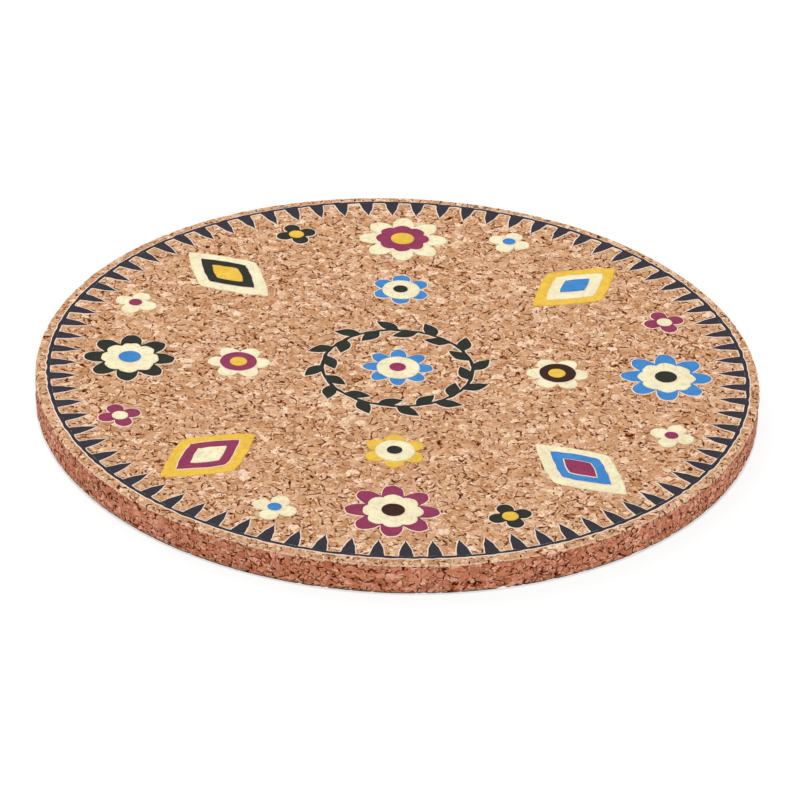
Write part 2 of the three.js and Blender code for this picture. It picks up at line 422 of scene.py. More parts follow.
def build_disc(context):
    """The top face is a grid pressed into a circle. Its rim runs down the edge row by row, each
    row with as many points, and the underside is a grid of half as many cells that ends a cell
    short of the last row. Every point then goes inwards, against the plain disc's normal, by the
    depth of the cork there."""
    disc = context.scene.coaster_disc
    top, top_rim = disc_points(TOP_CELLS), disc_rim(TOP_CELLS)
    half_cells = TOP_CELLS // 2
    bottom, bottom_rim = disc_points(half_cells), disc_rim(half_cells)
    columns = len(top_rim)
    r, z, slope = edge_profile(disc)
    rows = len(r)

    def in_rows(out, up):
        """The edge's points, or their directions, from how far each row goes out and up. The
        first row is left out, because the top face has it."""
        up = np.broadcast_to(up[:, None, None], (rows, columns, 1))
        return np.concatenate([out[:, None, None] * top[top_rim], up], -1)[1:].reshape(-1, 3)

    foot = r[-1] * (1 - 1 / half_cells)
    plain = np.concatenate([
        np.column_stack([top * r[0], np.full(len(top), disc.thickness)]),
        in_rows(r, z),
        np.column_stack([bottom * foot, np.zeros(len(bottom))]),
    ])
    normals = np.concatenate([
        np.tile((0, 0, 1.0), (len(top), 1)), in_rows(np.sin(slope), np.cos(slope)),
        np.tile((0, 0, -1.0), (len(bottom), 1)),
    ])
    sawn = ramp(np.hypot(normals[:, 0], normals[:, 1]), *SAWN_LEAN)
    points = plain - normals * cork_depth(plain, sawn, disc)[:, None]

    edge_rows = len(top) + np.arange((rows - 1) * columns).reshape(-1, columns)
    ring = np.concatenate([top_rim[None], edge_rows])
    beside = np.roll(ring, -1, 1)
    edge_quads = np.stack([ring[:-1], ring[1:], beside[1:], beside[:-1]], -1)
    first_bottom = len(top) + edge_rows.size
    under, last = first_bottom + bottom_rim, ring[-1]
    outer, between = last[::2], last[1::2]
    after = np.roll(under, -1)
    triangles = np.concatenate([
        np.stack([outer, under, between], -1), np.stack([between, under, after], -1),
        np.stack([between, after, np.roll(outer, -1)], -1),
    ])
    top_quads = disc_quads(TOP_CELLS)
    bottom_quads = first_bottom + disc_quads(half_cells)[:, ::-1]
    quads = np.concatenate([top_quads, edge_quads.reshape(-1, 4), bottom_quads])

    def on_map(corners, middle_x, middle_y, radius, widest):
        return plain[corners.ravel(), :2] / widest * radius + (middle_x, middle_y)

    column, row = np.meshgrid(np.arange(columns), np.arange(rows - 1))
    per_strip = math.ceil(columns / MAP_STRIPS)
    strip = column // per_strip
    across = (column - strip * per_strip)[..., None] + (0, 0, 1, 1)
    gone = np.concatenate([[0], np.cumsum(np.hypot(np.diff(r), np.diff(z)))])
    down = np.stack([gone[row], gone[row + 1], gone[row + 1], gone[row]], -1)
    per_metre = MAP_STRIP_WIDTH / per_strip / (TURN * disc.diameter / 2 / columns)
    strips = np.stack([
        MAP_MARGIN + across * MAP_STRIP_WIDTH / per_strip,
        (strip[..., None] + 1) * MAP_STRIP_PITCH - MAP_STRIP_GAP - down * per_metre,
    ], -1)
    places = np.concatenate([
        on_map(top_quads, *MAP_TOP, r[0]), strips.reshape(-1, 2),
        on_map(bottom_quads, *MAP_BOTTOM, r[-1]), on_map(triangles, *MAP_BOTTOM, r[-1]),
    ])
    return add_piece(
        "pressed_cork_disc", points, quads, triangles, "cork_disc",
        new_material("Agglomerated_cork_sanded_and_sawn", cork_nodes, context.scene),
        places=places,
    )


# Ink films

FILM_ROW = 0.45 * MM          # between two rows of a film's top
RIM_INSETS = np.array([0, 0.11, 0.14, 0.2, 0.32, 0.55]) * MM
RIM_DROPS = np.array([0.044, 0.036, 0.012, 0.003, 0, 0]) * MM   # below the top, at each inset
RING_INSETS = 4               # as many of them as a narrow ring has room for
MOST_INSET = 0.8              # share of the way to the middle
BURIED = 0.03 * MM            # how far a film's underside is sunk in what it lies on
UNDER_SHARES = (0.66, 0.33)   # rows of the underside, as shares of the outline
RIM = "rim_mm"                # attribute: distance to the film's rim in millimetres
FULL_RIM = 5 * MM             # what it holds at most
MOST_DIP = 0.6                # share of a film that it can follow the cork down
HALF_DIP = 0.05 * MM          # depth of cork that gives half of that
DIP_KEPT = 0.75               # share of the dips that show through one more film
SHORTEST_WAVE = 1.6 * MM
LONGEST_WAVE = 8 * MM
WAVERING_REACH = 4 * MM       # a film that reaches less far from its middle strays less


def film_height(plan, level, context):
    """Height of a film's top over each point of the plan. It dips where the cork does, by
    depth / (depth + half depth) of a share of its thickness, and less with each film below it.
    Level -1 is the cork."""
    disc, film = context.scene.coaster_disc, context.scene.coaster_print.film
    flat = plan.reshape(-1, 2)
    depth = cork_depth(np.column_stack([flat, np.full(len(flat), disc.thickness)]), 0, disc)
    if level >= 0:
        depth = depth / (depth + HALF_DIP) * MOST_DIP * film * DIP_KEPT ** level
    return disc.thickness + (level + 1) * film - depth.reshape(plan.shape[:-1])


def wavering(columns, around, amount, seed):
    """How far a closed edge strays, as a sum of sines whose waves fit between the shortest and
    the longest wave, with random heights and phases."""
    draw = np.random.default_rng(seed)
    fewest, most = math.ceil(around / LONGEST_WAVE), math.ceil(around / SHORTEST_WAVE)
    waves = np.arange(fewest, most + 1)[:, None]
    heights, phases = draw.normal(size=waves.shape), draw.uniform(0, TURN, waves.shape)
    line = (heights * np.sin(waves * TURN * np.arange(columns) / columns + phases)).sum(0)
    return amount * line / math.sqrt(len(waves) / 2)


def polar_film(outline, level, turn, place, context, seed, inradius=None, lowered=0):
    """A closed film from an outline round its own middle. Each row is the outline drawn in
    towards the middle: by a set inset near the rim, and by even shares further in. The rows run
    from the middle of the top over the rim and back under the film. inradius makes the insets
    even along straight sides, and lowered is how far the top lies below that of other films.
    Returns points, quads, triangles and the distance to the rim."""
    columns = len(outline)
    step = np.roll(outline, -1, 0) - np.roll(outline, 1, 0)
    stride = np.linalg.norm(step, axis=1)
    across = np.abs(outline[:, 0] * step[:, 1] - outline[:, 1] * step[:, 0]) / stride
    reach = np.linalg.norm(outline, axis=1)
    around = stride.sum() / 2
    steadier = min(1, reach.max() / WAVERING_REACH) ** 2
    stray = wavering(columns, around, context.scene.coaster_print.wobble * steadier, seed)
    outline = outline * (1 + stray / reach)[:, None]
    width = inradius or reach
    rim_shares = 1 - np.minimum(RIM_INSETS[:, None] / width * np.ones(columns), MOST_INSET)
    rows = max(2, round(reach.max() / FILM_ROW))
    inner = np.linspace(0, 1, rows + 1)[1:-1, None] * rim_shares[-1]
    buried = np.ones((1, columns))
    under = np.array(UNDER_SHARES)[:, None] * buried
    shares = np.concatenate([inner, rim_shares[::-1], buried, under])
    tops = len(inner) + len(rim_shares)

    plan = shares[:, :, None] * outline
    plan = np.concatenate([plan.reshape(-1, 2), np.zeros((2, 2))])
    cos, sin = math.cos(turn), math.sin(turn)
    plan = plan @ np.array([[cos, sin], [-sin, cos]]) + place
    drops = np.concatenate([np.zeros(len(inner)), RIM_DROPS[::-1]]) + lowered
    on_top = np.append((np.arange(len(shares)) < tops).repeat(columns), [True, False])
    height = np.where(
        on_top, film_height(plan, level, context), film_height(plan, level - 1, context) - BURIED,
    )
    height[:tops * columns] -= drops.repeat(columns)
    height[-2] -= lowered
    rim = np.where(np.arange(len(shares))[:, None] < tops, (1 - shares) * across, 0)
    rim = np.append(np.minimum(rim, FULL_RIM).ravel(), [FULL_RIM, 0])

    last = len(shares) * columns
    ring = np.arange(columns)
    triangles = np.concatenate([
        fan_faces(ring, last)[:, ::-1], fan_faces(last - columns + ring, last + 1),
    ])
    return np.column_stack([plan, height]), grid_faces(len(shares), columns), triangles, rim


def ring_film(radius, width, columns, level, place, context, seed):
    """A closed film along a circle. Its rows run from the inner rim over the top to the outer
    rim, and the last one joins the first under the film."""
    insets, drops = RIM_INSETS[:RING_INSETS], RIM_DROPS[:RING_INSETS]
    half = width / 2
    across = np.concatenate([insets - half, half - insets[::-1], [half, -half]])
    drops = np.concatenate([drops, drops[::-1]])
    angle = TURN * np.arange(columns) / columns
    wobble = context.scene.coaster_print.wobble
    strays = [wavering(columns, TURN * radius, wobble, seed + side) for side in (0, 1)]
    stray = np.where(across[:, None] < 0, *strays)
    reach = radius + across[:, None] + stray
    plan = reach[:, :, None] * np.stack([np.cos(angle), np.sin(angle)], -1) + place
    height = film_height(plan, level, context)
    height[:-2] -= drops[:, None]
    height[-2:] = film_height(plan[-2:], level - 1, context) - BURIED
    rim = np.repeat(np.append(half - np.abs(across[:-2]), [0, 0]), columns)
    points = np.concatenate([plan, height[:, :, None]], -1).reshape(-1, 3)
    return points, grid_faces(len(across), columns, wraps_rows=True), np.zeros((0, 3), int), rim


def add_film(node, parts, context):
    """Puts the parts of a film into one piece in the place of its node."""
    points, quads, triangles, rims = zip(*parts)
    firsts = np.cumsum([0, *map(len, points)])
    quads, triangles = (
        np.concatenate([faces + first for faces, first in zip(kind, firsts)])
        for kind in (quads, triangles)
    )
    slot = SLOT_OF[node]
    return add_piece(
        f"{node}_ink", np.concatenate(points), quads, triangles, node,
        new_material(f"Matte_screen_{slot}", ink_nodes, context.scene, slot),
        {RIM: np.concatenate(rims) / MM},
    )


def register_shift(node, context):
    """Each colour is printed in one pass, so all films of an ink are off by the same small step."""
    order = sorted(set(SLOT_OF.values())).index(SLOT_OF[node])
    angle = TURN * np.random.default_rng(order).random()
    return on_circle(context.scene.coaster_print.register_error, angle)


# Motifs

PETAL_EXPONENT = LOZENGE_EXPONENT = 0.75
LEAF_EXPONENT = 0.8
PETAL_COLUMNS = 18
LOZENGE_COLUMNS = 112
ROUND_COLUMNS = 72
SPRIG_COLUMNS = 18         # along one side of a leaf or tooth
TOOTH_COLUMNS = 14         # of the border's line, for each tooth
LEAF_COLUMNS = 20          # of the stem, for each pair of leaves
FLOWER_PETALS, BLOSSOM_PETALS, ROSETTE_PETALS = 8, 4, 6
OUTER_PAIRS = 4            # large flowers, and as many lozenges
SPRIG_LOWERED = 0.004 * MM   # a hair, so that ring and sprig don't share a surface
SPRIG_SEED, SEED_STEP = 100, 10   # seeds of a sprig, and of one motif's film and the next's
TOOTH_MIDDLE = 0.85 * MM   # from the line to where its rows of points shrink to
TOOTH_TUCKED = 0.25 * MM   # how far a tooth's base reaches under the line
TOOTH_TIP = 0.16 * MM      # half the width of a tooth's blunt tip
LEAF_MIDDLE = 0.45         # the same in a leaf, as a share of its length


def on_circle(radius, angles):
    return radius * np.stack([np.cos(angles), np.sin(angles)], -1)


def petal_outline(radius, petals, notch):
    """radius * (notch + (1 - notch) * |cos(petals * angle / 2)| ^ exponent), anticlockwise."""
    angle = TURN * np.arange(petals * PETAL_COLUMNS) / (petals * PETAL_COLUMNS)
    reach = radius * (notch + (1 - notch) * np.abs(np.cos(petals * angle / 2)) ** PETAL_EXPONENT)
    return reach[:, None] * on_circle(1, angle)


def round_outline(radius):
    return on_circle(radius, TURN * np.arange(ROUND_COLUMNS) / ROUND_COLUMNS)


def lozenge_outline(motifs, inset):
    """x = half length * cos(u) * |cos(u)| ^ exponent, and y the same with half width and sin.
    The inset is taken off the half width, and the half length shrinks in proportion."""
    u = TURN * np.arange(LOZENGE_COLUMNS) / LOZENGE_COLUMNS
    kept = 1 - inset / motifs.lozenge_width
    unit = on_circle(1, u)
    halves = (motifs.lozenge_length, motifs.lozenge_width)
    return unit * np.abs(unit) ** LOZENGE_EXPONENT * halves * kept


def sprig_outline(start, end, half_width, middle):
    """A shape along +X from start to end, as wide to both sides as a function of the place along
    it says, with its points set closer at both ends. Its own middle lies at middle."""
    along = start + (end - start) * (1 - np.cos(np.linspace(0, math.pi, SPRIG_COLUMNS))) / 2
    lower = np.stack([along, -half_width(along)], -1)
    upper = np.stack([along, half_width(along)], -1)[::-1]
    if half_width(along[:1])[0] == 0:
        upper = upper[:-1]
    if half_width(along[-1:])[0] == 0:
        upper = upper[1:]
    return np.concatenate([lower, upper]) - (middle, 0)


def ring_radii(context):
    """Radii of the rings, from the border inwards."""
    scene = context.scene
    disc, ink, motifs = scene.coaster_disc, scene.coaster_print, scene.coaster_motifs
    border_outer = disc.diameter / 2 - disc.top_arris - ink.rim_margin
    line_inner = border_outer - ink.border_line
    field = line_inner - ink.tooth_depth - ink.border_gap
    rise = motifs.leaf_length * math.sin(motifs.leaf_lean)
    sweep = motifs.leaf_length * math.cos(motifs.leaf_lean)
    wreath_outer = math.hypot(motifs.wreath_radius + rise, sweep)
    flower = field - motifs.flower_radius
    return {
        "line": line_inner + ink.border_line / 2,
        "tooth": line_inner,
        "flower": flower,
        "lozenge": field - motifs.lozenge_length,
        "blossom": field - motifs.blossom_radius,
        "rosette": (flower - motifs.flower_radius + wreath_outer) / 2,
        "centre_flower": 0,
    }


def print_motifs(context, name, number, starts_half_way, films):
    """Motifs of one kind evenly round the disc, each with its +X turned outwards and its films
    on one another. The ring starts on +X, or half a pitch round from it."""
    ring = ring_radii(context)[name]
    for i in range(number):
        turn = TURN * (i + starts_half_way / 2) / number
        place = on_circle(ring, turn)
        motif = f"{name}_{i + 1}" if number > 1 else name
        for level, (layer, outline) in enumerate(films.items()):
            node = f"{motif}_{layer}"
            shifted = place + register_shift(node, context)
            seed = sorted(SLOT_OF).index(node) * SEED_STEP
            add_film(node, [polar_film(outline, level, turn, shifted, context, seed)], context)


def print_sprigs(
    context, node, ring, width, columns, outline, half_width, roots, headings, middle, inradius,
):
    """A ring of ink, and the sprigs that leave it. Each sprig lies a hair lower than the ring.
    They are one patch of ink, so a point of one that lies in the other is as far from the patch's
    rim as the further of the two rims is."""
    shift = register_shift(node, context)
    ahead = on_circle(1, headings)
    points, quads, triangles, rim = ring_film(ring, width, columns, 0, shift, context, 1)
    away = (points[:, :2] - shift)[:, None] - roots
    along = (away * ahead).sum(-1)
    across = np.abs(away[..., 0] * ahead[:, 1] - away[..., 1] * ahead[:, 0])
    within = np.where(along < outline[:, 0].min() + middle, 0, half_width(along) - across)
    parts = [(points, quads, triangles, np.maximum(rim, within.max(1)))]
    for i, place in enumerate(roots + middle * ahead + shift):
        points, quads, triangles, rim = polar_film(
            outline, 0, headings[i], place, context, SPRIG_SEED + i, inradius, SPRIG_LOWERED,
        )
        reach = np.linalg.norm(points[:, :2] - shift, axis=1)
        parts.append((points, quads, triangles, np.maximum(rim, width / 2 - np.abs(reach - ring))))
    return add_film(node, parts, context)


def build_border(context):
    """A thin line with teeth that point to the middle of the disc. A tooth is as wide as
    base / 2 * (1 - along / depth) to each side, down to its blunt tip."""
    ink, rings = context.scene.coaster_print, ring_radii(context)
    angles = TURN * (np.arange(ink.tooth_count) + 0.5) / ink.tooth_count

    def half_width(along):
        side = ink.tooth_base / 2 * (1 - np.maximum(along, 0) / ink.tooth_depth)
        tip = np.sqrt(np.maximum(ink.tooth_depth - along, 0) * 2 * TOOTH_TIP)
        return np.minimum(side + TOOTH_TIP / 3, tip)

    outline = sprig_outline(-TOOTH_TUCKED, ink.tooth_depth, half_width, TOOTH_MIDDLE)
    return print_sprigs(
        context, "border", rings["line"], ink.border_line, ink.tooth_count * TOOTH_COLUMNS,
        outline, half_width, on_circle(rings["tooth"], angles), angles + math.pi,
        TOOTH_MIDDLE, TOOTH_MIDDLE,
    )


def build_wreath(context):
    """A stem in a ring, and leaves on both sides of it in turn, all swept the same way round. A
    leaf is as wide as half width * sin(pi * (along / length) ^ exponent) to each side."""
    motifs = context.scene.coaster_motifs
    pitch = TURN / motifs.leaf_pairs
    outer = pitch * np.arange(motifs.leaf_pairs)
    inner = outer + pitch / 2
    quarter = TURN / 4

    def half_width(along):
        # Rounded, so that it is 0 at both ends
        t = np.clip(along / motifs.leaf_length, 0, 1)
        return np.round(motifs.leaf_half_width * np.sin(math.pi * t ** LEAF_EXPONENT), 9)

    middle = LEAF_MIDDLE * motifs.leaf_length
    outline = sprig_outline(0, motifs.leaf_length, half_width, middle)
    return print_sprigs(
        context, "wreath", motifs.wreath_radius, motifs.stem_width,
        motifs.leaf_pairs * LEAF_COLUMNS, outline, half_width,
        on_circle(motifs.wreath_radius, np.concatenate([outer, inner])),
        np.concatenate([outer + quarter - motifs.leaf_lean, inner + quarter + motifs.leaf_lean]),
        middle, motifs.leaf_half_width,
    )


# Materials

UNDERBASED = ("ink_charcoal", "ink_black", "ink_blue", "ink_plum", "ink_brown")


def add_node(tree, kind, inputs=(), stops=(), out=0, **settings):
    """Adds a shader node, whose kind is given without ShaderNode, and gives one output of it, or
    all of them where out is None. inputs are the sockets that feed it or their values, in order
    or by name or number. stops are the places and colours of a ramp."""
    node = tree.nodes.new(f"ShaderNode{kind}")
    for key, value in settings.items():
        setattr(node, key, value)
    for key, value in inputs.items() if isinstance(inputs, dict) else enumerate(inputs):
        if isinstance(value, bpy.types.NodeSocket):
            tree.links.new(value, node.inputs[key])
        else:
            node.inputs[key].default_value = value
    for i, (place, tone) in enumerate(stops):
        elements = node.color_ramp.elements
        element = elements[i] if i < 2 else elements.new(1)
        element.position = place
        element.color = (*tone, 1)
    return node.outputs if out is None else node.outputs[out]


def greys(profile, scale=1):
    """Stops of a ramp from pairs of a place and a value."""
    return [(place * scale, (value,) * 3) for place, value in profile]


def new_material(name, add_nodes, *choices):
    """The material of that name, or a new one that a function gives its nodes."""
    material = bpy.data.materials.get(name)
    if not material:
        material = bpy.data.materials.new(name)
        material.use_nodes = True
        material.node_tree.nodes.clear()
        add_nodes(partial(add_node, material.node_tree), *choices)
    return material


# Where the edge begins: heights from each face, and then shares of the way to the wall
TOP_SKIN, FOOT_SKIN = 0.1 * MM, 0.05 * MM
EDGE_FROM = 0.02
SAWN_FROM, SAWN_AT = 0.4, 0.8
ARRIS_PROFILE = ((0.05, 0), (0.25, 1), (0.5, 1), (0.75, 0))
FOOT_FULLY_SHADED, FOOT_UNSHADED = 0.26 * MM, 0.42 * MM   # heights between which the painted contact shadow at the foot fades
# One noise bends the joints and another tears their sides: their grain, and how far
BEND_GRAIN, BENDING = 0.6 * MM, 0.4 * MM
TEAR_GRAIN, TEARING = 0.7 * MM, 0.42 * MM
# Across a joint: distance from it in millimetres, and how strong the crevice, with its painted shade,
# or the lip, with its painted highlight, is there
CREVICE_PROFILE = ((0.2, 1), (0.27, 0.5), (0.36, 0))
LIP_PROFILE = ((0.26, 0), (0.35, 1), (0.53, 0))
# The relief in the bump, as shares of its distance
LEAST_SWELL, MORE_SWELL, LIP_RISE, CUT_DEPTH = 0.15, 0.5, 0.2, 0.3
SWELL_REACH = 0.28      # of a granule's width, from its joint to its full height
CORK_BUMP, CORK_RELIEF = 0.75, 0.3 * MM
INK_BUMP, INK_RELIEF = 0.5, 0.05 * MM
# Colour of the cork
WHOLE_ABOVE = 0.55      # number above which a granule isn't broken into crumbs
FINE_GRAIN, FINE_TONE = 0.3 * MM, 0.2   # cells within a granule, and how much they vary its tone
TONE_STOPS = (0, 0.25, 0.85, 0.95)      # places of the four tones from brown to pale flake
LIP_HIGHLIGHT, SAWN_LIP_LESS = 0.8, 0.25     # how strong a lip's painted highlight is, and how much less on the sawn edge
ARRIS_WEAR_AND_HIGHLIGHT = 0.6         # how pale the arris is: wear, and a painted highlight where the edge catches the light
CREVICE_STOP = 0.45     # how strong a crevice is where it has the colour of the painted shade beside it
FRAYED = 0.16           # sheen of the torn cells
# Colour of the ink, as shares of its tone
CLOUD_GRAIN = 2.2 * MM  # patches of thicker and thinner ink
CLOUD_TONES = ((0.3, 0.88, 0), (0.5, 1, 0), (0.7, 1.08, 0.004))   # place, share, and added
DENTED = 0.8            # how much of a crevice the thinned ink over it covers
THIN_ON_COAT, THIN_ON_CORK = 0.8, (0.86, 0.78, 0.66)
DENSE_FROM, DENSE_TO = 0.04, 0.2        # millimetres from its edge: the darker rim, denser ink with a painted shadow of the film's edge, fades
DENSE_ON_COAT, DENSE_ON_CORK, DENSE_AND_SHADED_TONE = 0.5, 0.25, 0.72
COAT_BLUR = 0.02        # millimetres over which the coat gives way, to each side


def granule_pattern(add, disc):
    """The granules and the crumbs between them as sockets: which one it is, how near its joints
    are, how open its joints are and where it has a raised lip. Two neighbours share their joint's
    number, the fraction of the sum of their own. More joints stand open on the sawn edge. Noise
    bends the joints and frays their sides, as cork tears rather than splits."""
    place = add("TexCoord", out="Object")
    height = add("SeparateXYZ", [place], out=2)
    below_top = add("MapRange", {
        "Value": height, "From Min": disc.thickness - TOP_SKIN,
        "From Max": disc.thickness - disc.top_arris,
    })
    above_foot = add("MapRange", {
        "Value": height, "From Min": FOOT_SKIN, "From Max": disc.bottom_arris,
    })
    from_faces = add("Math", [below_top, above_foot], operation="MINIMUM")
    sawn = add("MapRange", {
        "Value": from_faces, "From Min": SAWN_FROM, "From Max": SAWN_AT,
    }, interpolation_type="SMOOTHSTEP")
    flat = add("Mapping", {"Vector": place, "Scale": (1, 1, FLATTENING)})
    noise = add("TexNoise", {
        "Vector": flat, "Scale": 1 / BEND_GRAIN, "Detail": 2, "Roughness": 0.5,
    }, out="Color")
    strayed = add("VectorMath", [noise, (0.5, 0.5, 0.5)], operation="SUBTRACT")
    bent = add("VectorMath", [strayed, (BENDING,) * 3, flat], operation="MULTIPLY_ADD")
    torn = add("TexNoise", {"Vector": flat, "Scale": 1 / TEAR_GRAIN, "Detail": 2})
    found = {
        "flat": flat, "height": height, "sawn": sawn,
        "edge": add("Math", [from_faces, EDGE_FROM], operation="GREATER_THAN"),
        "arris": add("ValToRGB", [from_faces], greys(ARRIS_PROFILE)),
    }
    for name, width, share_open, share_lipped in (
        ("granule", disc.granule, OPEN_JOINTS, LIPPED_JOINTS),
        ("crumb", disc.crumb, CRUMB_JOINTS, LIPPED_CRUMBS),
    ):
        own, other, gap = (
            add("TexVoronoi", {"Vector": bent, "Scale": 1 / width}, out=out, feature=feature)
            for feature, out in (("F1", "Color"), ("F2", "Color"), ("DISTANCE_TO_EDGE", "Distance"))
        )
        mine, theirs = (add("SeparateColor", [cell], out=None) for cell in (own, other))
        both = add("Math", [mine[0], theirs[0]], operation="ADD")
        joint = add("Math", [both], operation="FRACT")
        more_open = SAWN_JOINTS - share_open
        open_share = add("Math", [sawn, more_open, share_open], operation="MULTIPLY_ADD")
        is_open = add("Math", [joint, open_share], operation="LESS_THAN")
        has_lip = add("Math", [joint, share_lipped], operation="LESS_THAN")
        is_prouder = add("Math", [mine[2], theirs[2]], operation="GREATER_THAN")
        is_lipped = add("Math", [has_lip, is_prouder], operation="MULTIPLY")
        apart = add("Math", [torn, TEARING / width, gap], operation="MULTIPLY_ADD")
        found[name], found[f"{name}_gap"] = mine, gap
        for key, chosen, profile in (
            ("open", is_open, CREVICE_PROFILE), ("lip", is_lipped, LIP_PROFILE),
        ):
            near = add("ValToRGB", [apart], greys(profile, MM / width))
            found[f"{name}_{key}"] = add("Math", [chosen, near], operation="MULTIPLY")
    return found


def cork_height(add, found):
    """Height of the cork's surface from 0 to about 1: granules and crumbs swell between their
    joints, each to its own height, lips stand up beside open joints, and these cut in."""
    level = 0.0
    for name in ("granule", "crumb"):
        own = add("Math", [found[name][2], MORE_SWELL, LEAST_SWELL], operation="MULTIPLY_ADD")
        swell = add("MapRange", {
            "Value": found[f"{name}_gap"], "From Max": SWELL_REACH, "To Max": own,
        }, interpolation_type="SMOOTHSTEP")
        level = add("Math", [swell, level], operation="ADD")
        level = add("Math", [found[f"{name}_lip"], LIP_RISE, level], operation="MULTIPLY_ADD")
    for key, of_each in (("cut", "open"), ("lip", "lip")):
        pair = [found[f"{name}_{of_each}"] for name in ("granule", "crumb")]
        found[key] = add("Math", pair, operation="MAXIMUM")
    return add("Math", [found["cut"], -CUT_DEPTH, level], operation="MULTIPLY_ADD")


def cork_nodes(add, scene):
    """Agglomerated cork, pressed with a binder and cut from the block. Sanding the faces leaves
    flat pale granules with brown crevices between them. Their brown is partly the cork's own and
    partly painted shade in the gaps, with a band of painted shade beside them, and the pale lips
    beside them are painted highlights. The sawn edge is redder, darker and rougher, because it
    shows the torn cells. These give it a faint sheen outside its crevices. The arrises are paler,
    from wear and from a painted highlight where the edge catches the light, and a painted
    contact shadow darkens the foot of the edge."""
    disc, tones = scene.coaster_disc, scene.coaster_colours
    found = granule_pattern(add, disc)
    height = cork_height(add, found)
    whole = add("Math", [found["granule"][1], WHOLE_ABOVE], operation="GREATER_THAN")
    tone = add("Mix", {0: whole, 2: found["crumb"][0], 3: found["granule"][0]})
    fine = add("TexNoise", {
        "Vector": found["flat"], "Scale": 1 / FINE_GRAIN, "Detail": 2, "Roughness": 0.7,
    })
    fine_tone = add("MapRange", {
        "Value": fine, "From Min": 0.3, "From Max": 0.7, "To Min": -FINE_TONE, "To Max": FINE_TONE,
    })
    tone = add("Math", [tone, fine_tone], operation="ADD", use_clamp=True)
    cork_tones = (tones.cork_low, tones.cork_mid, tones.cork_high, tones.cork_light)
    surface = add("ValToRGB", [tone], list(zip(TONE_STOPS, cork_tones)))
    # The arrises are made paler: partly wear, partly a painted highlight of the edge catching the
    # light.
    worn_and_lit = add("Math", [found["arris"], ARRIS_WEAR_AND_HIGHLIGHT], operation="MULTIPLY")
    # Painted highlights: the prouder side of a joint is made pale, less so on the sawn edge.
    lip_highlight = add("Math", [found["sawn"], -SAWN_LIP_LESS, LIP_HIGHLIGHT], operation="MULTIPLY_ADD")
    pale = add("Math", [found["lip"], lip_highlight, worn_and_lit], operation="MULTIPLY_ADD", use_clamp=True)
    # Painted contact shadow: the edge darkens towards its foot.
    foot = add("MapRange", {
        "Value": found["height"], "From Min": FOOT_FULLY_SHADED, "From Max": FOOT_UNSHADED,
        "To Min": 1, "To Max": 0,
    })
    painted_contact_shadow = add("Math", [foot, found["edge"]], operation="MULTIPLY")
    # Crevices: the dark joint, partly painted shade in the gap, and a band of painted shade beside
    # it.
    crevice = add("ValToRGB", [found["cut"]], [
        (0, (1, 1, 1)), (CREVICE_STOP, tones.crevice_edge), (1, tones.crevice),
    ])
    for amount, over, how in (
        (found["sawn"], (*tones.sawn_tint, 1), "MULTIPLY"), (pale, (*tones.cork_light, 1), "MIX"),
        (painted_contact_shadow, (*tones.foot, 1), "MULTIPLY"), (1, crevice, "MULTIPLY"),
    ):
        inputs = {0: amount, 6: surface, 7: over}
        surface = add("Mix", inputs, out=2, data_type="RGBA", blend_type=how)
    outside = add("Math", [found["sawn"], found["cut"]], operation="SUBTRACT")
    frayed = add("Math", [outside, FRAYED], operation="MULTIPLY", use_clamp=True)
    bump = add("Bump", {"Strength": CORK_BUMP, "Distance": CORK_RELIEF, "Height": height})
    shader = add("BsdfPrincipled", {
        "Base Color": surface, "Roughness": 0.9, "Normal": bump, "Specular IOR Level": 0,
        "Sheen Weight": frayed, "Sheen Roughness": 0.5,
    })
    add("OutputMaterial", [shader], out=None)


def ink_nodes(add, scene, slot):
    """Matte screen ink on cork: an opaque skin that follows the granules softly. It is a little
    darker along its rim, partly as denser ink and partly as a painted shadow of the film's edge,
    and a dark ink lies on a pale coat that shows as a hairline round it."""
    tones = scene.coaster_colours
    tone = np.array(getattr(tones, slot))
    coat = scene.coaster_print.underbase / MM if slot in UNDERBASED else 0
    found = granule_pattern(add, scene.coaster_disc)
    height = cork_height(add, found)
    cloud = add("TexNoise", {
        "Vector": found["flat"], "Scale": 1 / CLOUD_GRAIN, "Detail": 4, "Roughness": 0.65,
    })
    surface = add("ValToRGB", [cloud], [
        (place, np.minimum(tone * kept + added, 1)) for place, kept, added in CLOUD_TONES
    ])
    dent = add("Math", [found["cut"], DENTED], operation="MULTIPLY")
    rim = add("Attribute", out="Fac", attribute_name=RIM)
    # The rim is darkened: partly denser ink, partly a painted shadow of the film's edge.
    dense_and_shaded_rim = add("MapRange", {
        "Value": rim, "From Min": coat + DENSE_FROM, "From Max": coat + DENSE_TO,
        "To Min": DENSE_ON_COAT if coat else DENSE_ON_CORK, "To Max": 0,
    })
    for amount, kept in ((dent, THIN_ON_COAT if coat else THIN_ON_CORK), (dense_and_shaded_rim, DENSE_AND_SHADED_TONE)):
        inputs = {0: amount, 6: surface, 7: (*(tone * kept), 1)}
        surface = add("Mix", inputs, out=2, data_type="RGBA")
    if coat:
        beyond = add("MapRange", {
            "Value": rim, "From Min": coat - COAT_BLUR, "From Max": coat + COAT_BLUR,
        })
        inputs = {0: beyond, 6: (*tones.underbase, 1), 7: surface}
        surface = add("Mix", inputs, out=2, data_type="RGBA")
    bump = add("Bump", {"Strength": INK_BUMP, "Distance": INK_RELIEF, "Height": height})
    shader = add("BsdfPrincipled", {
        "Base Color": surface, "Roughness": 0.7, "Normal": bump, "Specular IOR Level": 0.06,
    })
    add("OutputMaterial", [shader], out=None)


# Stage

